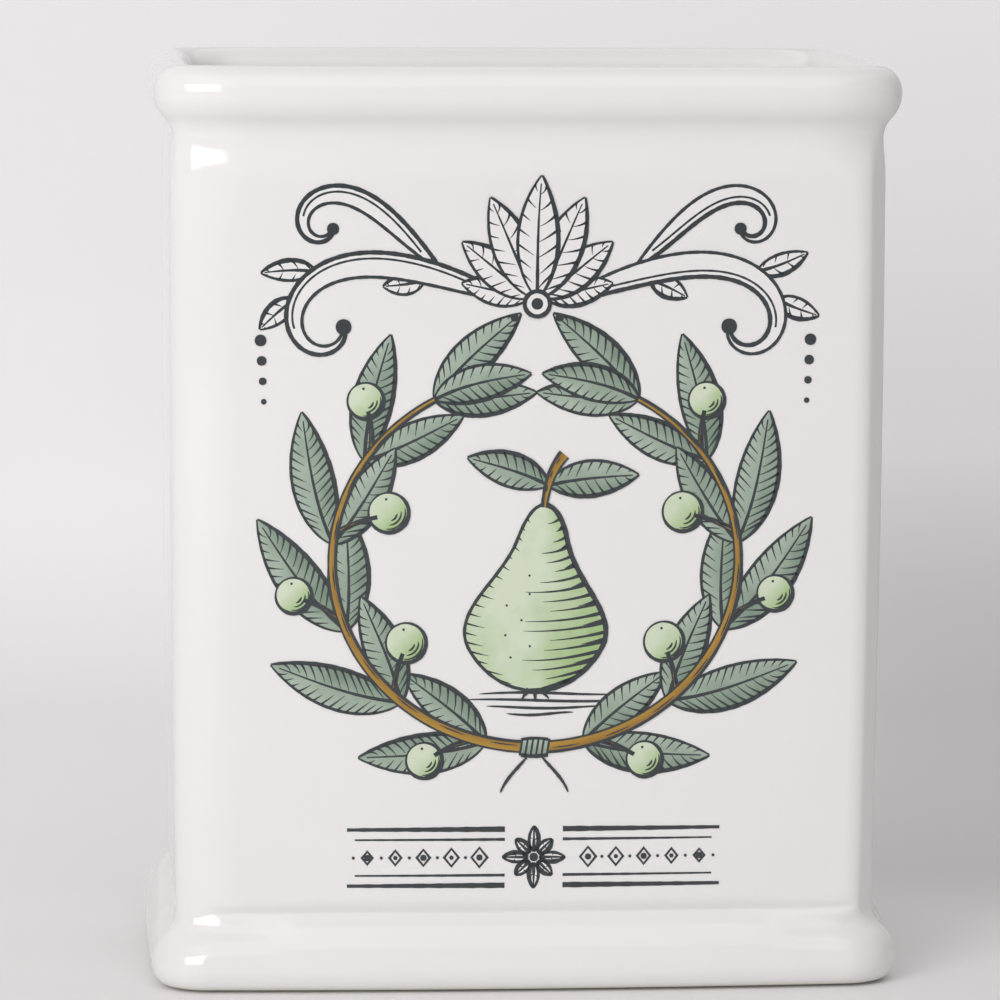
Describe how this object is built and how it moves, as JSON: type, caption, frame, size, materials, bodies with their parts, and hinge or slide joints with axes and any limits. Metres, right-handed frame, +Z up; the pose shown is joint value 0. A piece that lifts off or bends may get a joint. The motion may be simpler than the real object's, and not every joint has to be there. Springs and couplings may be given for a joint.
{
  "type": "ceramic jar",
  "caption": "Open rectangular kitchen jar in white glazed ceramic, with a rolled rim, slightly bowed walls and a flared foot on soft pads",
  "frame": {"origin": "on the table, under the middle of the jar", "axes": "+Z up through the open mouth, the printed front faces -Y, +X is the viewer's right when looking at the front"},
  "size_m": [0.146, 0.1012, 0.178],
  "materials": {
    "white_glaze": "clear gloss glaze over a white ceramic body",
    "soft_pad": "smooth translucent elastomer"
  },
  "bodies": {
    "root": {"vessel": "white_glaze", "pad_front_left": "soft_pad", "pad_front_right": "soft_pad", "pad_back_left": "soft_pad", "pad_back_right": "soft_pad"}
  },
  "joints": []
}
